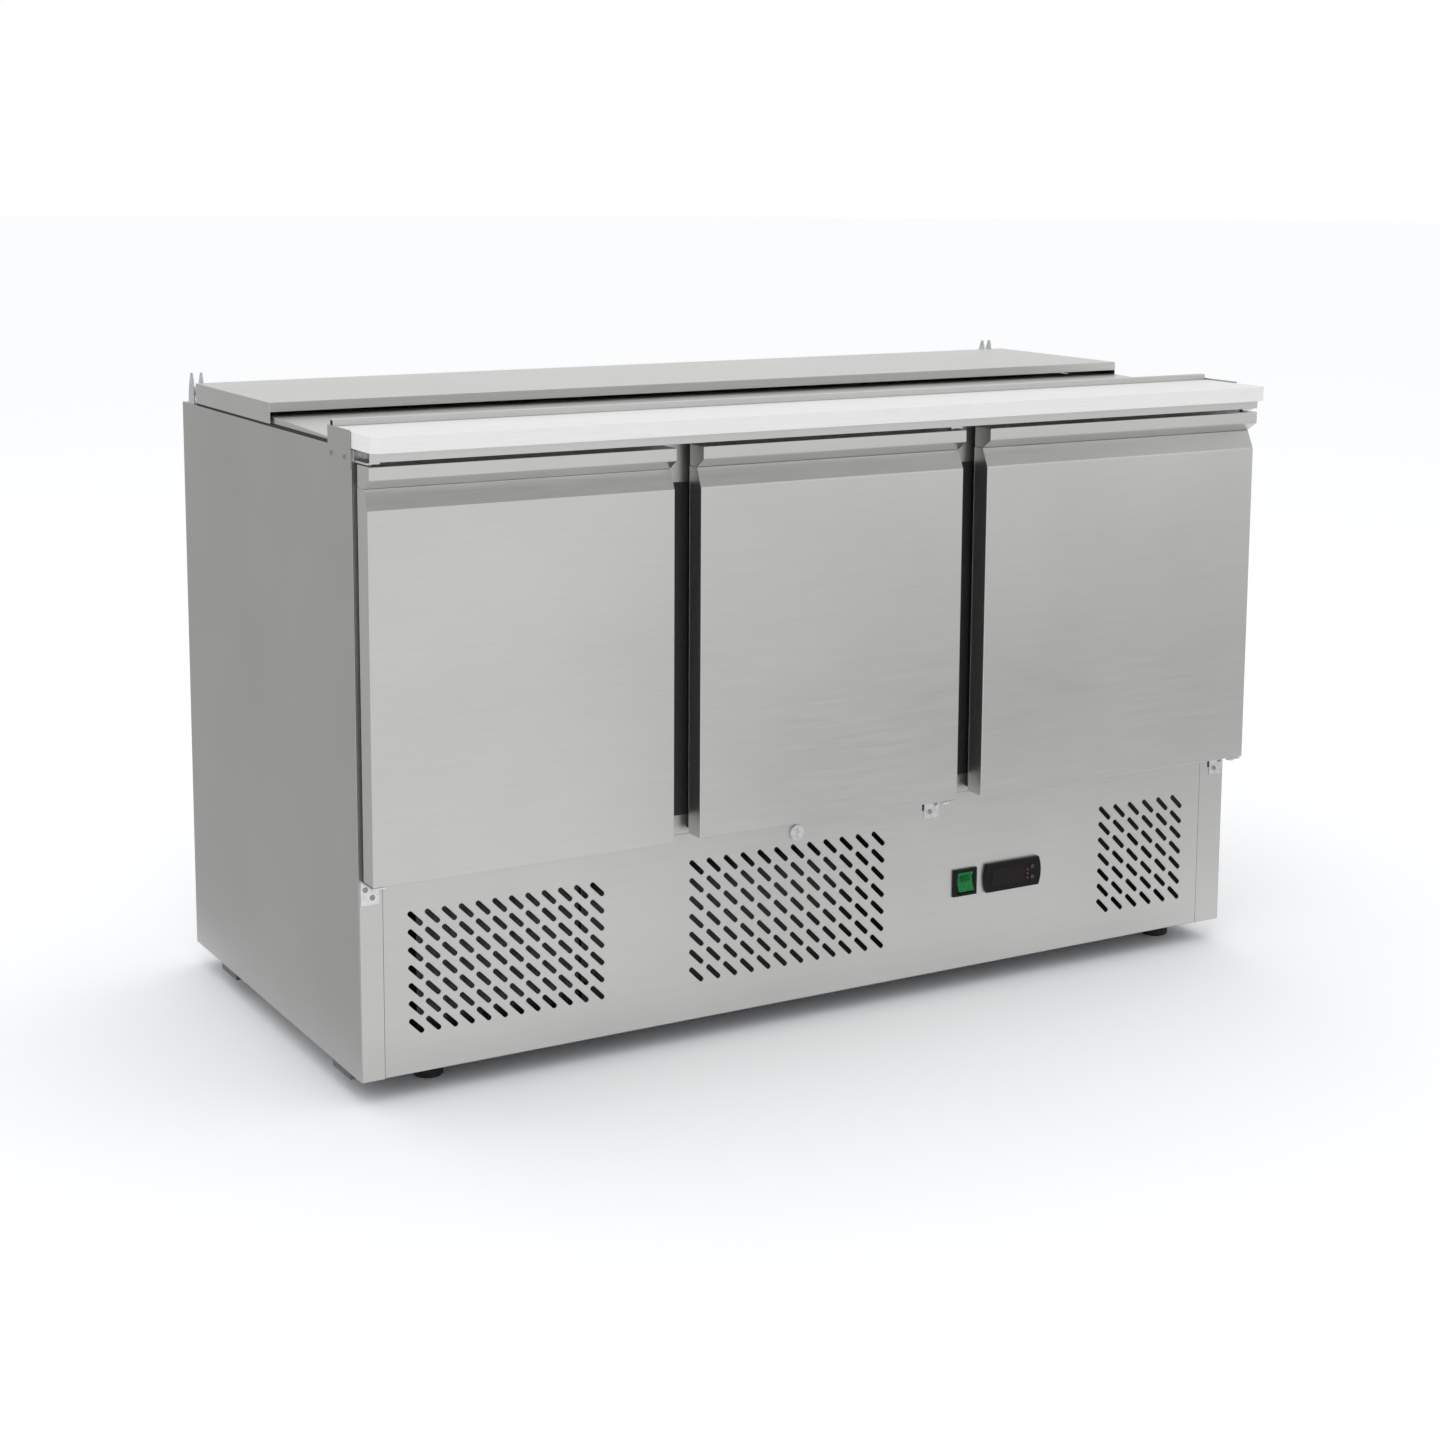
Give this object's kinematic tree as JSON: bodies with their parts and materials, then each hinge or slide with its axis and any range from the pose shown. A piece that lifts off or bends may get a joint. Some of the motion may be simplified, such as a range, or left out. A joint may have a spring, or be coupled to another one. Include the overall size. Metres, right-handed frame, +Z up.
{
  "type": "sandwich prep table",
  "caption": "Refrigerated stainless steel counter with hinged doors, a lifting and sliding lid over a pan well, a white cutting board and a lower machine space.",
  "frame": {"origin": "on the floor, under the centre of the bounding box", "axes": "+X to the right of a cook standing at the cutting board, +Y to the back, +Z up"},
  "size_m": [1.3704, 0.7, 0.8565],
  "materials": {
    "board": "white food grade polyethylene",
    "coil_fins": "aluminium fins",
    "control_plastic": "glossy black plastic",
    "door_inner": "white moulded inner panel over foam",
    "fan_plastic": "black fan wheel",
    "foam": "closed cell insulation foam",
    "foot_rubber": "black moulded foot",
    "gland_plastic": "black nylon",
    "hinge_steel": "bright zinc plated steel",
    "key_plastic": "dark grey key caps",
    "motor_black": "black enamel",
    "mullion_plastic": "dark grey plastic faced post",
    "rocker_green": "green translucent plastic",
    "screw_steel": "bright steel screw",
    "seal": "black flexible seal",
    "steel_door": "satin stainless door skin",
    "steel_galvanised": "zinc coated dark grey sheet",
    "steel_inner": "mill finish stainless liner",
    "steel_outer": "satin stainless sheet",
    "wire_coat": "white coated wire"
  },
  "bodies": {
    "cabinet": {"back_panel": "steel_outer", "base_tray": "steel_galvanised", "board_tray": "steel_outer", "compressor": "motor_black", "condenser": "coil_fins", "controller_case": "control_plastic", "door_frame": "steel_outer", "evaporator_coil": "coil_fins", "evaporator_cover": "steel_inner", "evaporator_motor": "motor_black", "fan_shroud": "motor_black", "fixing_screws": "screw_steel", "foot_plates": "steel_galvanised", "front_beam": "steel_outer", "lid_posts": "hinge_steel", "liner_floor": "steel_inner", "liner_walls": "steel_inner", "lower_hinges": "hinge_steel", "mullions": "mullion_plastic", "pan_bars": "steel_outer", "power_gland": "gland_plastic", "service_panel": "steel_outer", "shelf_left": "wire_coat", "shelf_middle": "wire_coat", "shelf_rails": "steel_inner", "shelf_right": "wire_coat", "side_panel_left": "steel_outer", "side_panel_right": "steel_outer", "switch_bezel": "control_plastic", "tray_end_plates": "steel_outer", "upper_hinges": "hinge_steel", "wall_foam": "foam", "well_frame": "steel_outer", "well_seal": "seal"},
    "door_left": {"door_left_skin": "steel_door", "door_left_handle": "steel_door", "door_left_liner": "door_inner", "door_left_gasket": "seal"},
    "door_middle": {"door_middle_skin": "steel_door", "door_middle_handle": "steel_door", "door_middle_liner": "door_inner", "door_middle_gasket": "seal"},
    "door_right": {"door_right_skin": "steel_door", "door_right_handle": "steel_door", "door_right_liner": "door_inner", "door_right_gasket": "seal"},
    "lid": {"lid_rear": "steel_outer", "lid_arms": "hinge_steel"},
    "lid_front_leaf": {"lid_front": "steel_outer"},
    "cutting_board": {"cutting_board": "board"},
    "rocker": {"rocker_switch": "rocker_green"},
    "key_up": {"controller_key_up": "key_plastic"},
    "key_down": {"controller_key_down": "key_plastic"},
    "panel_lock": {"panel_lock": "hinge_steel"},
    "condenser_fan": {"condenser_fan": "fan_plastic"},
    "evaporator_fan": {"evaporator_fan": "fan_plastic"},
    "foot_front_left": {"foot_front_left": "foot_rubber"},
    "foot_front_right": {"foot_front_right": "foot_rubber"},
    "foot_rear_left": {"foot_rear_left": "foot_rubber"},
    "foot_rear_right": {"foot_rear_right": "foot_rubber"}
  },
  "joints": [
    {"name": "door_left_hinge", "type": "hinge", "parent": "cabinet", "child": "door_left", "pos_m": [-0.671, -0.312, 0], "axis": [0, 0, -1], "range_deg": [0, 100]},
    {"name": "door_middle_hinge", "type": "hinge", "parent": "cabinet", "child": "door_middle", "pos_m": [0.1615, -0.312, 0], "axis": [0, 0, 1], "range_deg": [0, 100]},
    {"name": "door_right_hinge", "type": "hinge", "parent": "cabinet", "child": "door_right", "pos_m": [0.671, -0.312, 0], "axis": [0, 0, 1], "range_deg": [0, 100]},
    {"name": "lid_hinge", "type": "hinge", "parent": "cabinet", "child": "lid", "pos_m": [0, 0.317, 0.829], "axis": [-1, 0, 0], "range_deg": [0, 95]},
    {"name": "lid_leaf_slide", "type": "slide", "parent": "lid", "child": "lid_front_leaf", "axis": [0, 1, 0], "range_m": [0, 0.19]},
    {"name": "board_lift_off", "type": "slide", "parent": "cabinet", "child": "cutting_board", "axis": [0, 0, 1], "range_m": [0, 0.08]},
    {"name": "switch_rocker", "type": "hinge", "parent": "cabinet", "child": "rocker", "pos_m": [0.2166, -0.281, 0.1563], "axis": [1, 0, 0], "range_deg": [0, 16]},
    {"name": "key_up_press", "type": "slide", "parent": "cabinet", "child": "key_up", "axis": [0, 1, 0], "range_m": [0, 0.0008], "stiffness_N_per_m": 600},
    {"name": "key_down_press", "type": "slide", "parent": "cabinet", "child": "key_down", "axis": [0, 1, 0], "range_m": [0, 0.0008], "stiffness_N_per_m": 600},
    {"name": "panel_lock_turn", "type": "hinge", "parent": "cabinet", "child": "panel_lock", "pos_m": [-0.06, -0.284, 0.265], "axis": [0, 1, 0], "range_deg": [0, 90]},
    {"name": "condenser_fan_spin", "type": "hinge", "parent": "cabinet", "child": "condenser_fan", "pos_m": [-0.485, -0.2, 0.152], "axis": [0, 1, 0], "continuous": true},
    {"name": "evaporator_fan_spin", "type": "hinge", "parent": "cabinet", "child": "evaporator_fan", "pos_m": [-0.02, 0.247, 0.545], "axis": [0, 1, 0], "continuous": true},
    {"name": "foot_front_left_screw", "type": "hinge", "parent": "cabinet", "child": "foot_front_left", "pos_m": [-0.565, -0.215, 0], "axis": [0, 0, 1], "continuous": true},
    {"name": "foot_front_right_screw", "type": "hinge", "parent": "cabinet", "child": "foot_front_right", "pos_m": [0.62, -0.215, 0], "axis": [0, 0, 1], "continuous": true},
    {"name": "foot_rear_left_screw", "type": "hinge", "parent": "cabinet", "child": "foot_rear_left", "pos_m": [-0.565, 0.212, 0], "axis": [0, 0, 1], "continuous": true},
    {"name": "foot_rear_right_screw", "type": "hinge", "parent": "cabinet", "child": "foot_rear_right", "pos_m": [0.62, 0.212, 0], "axis": [0, 0, 1], "continuous": true}
  ]
}
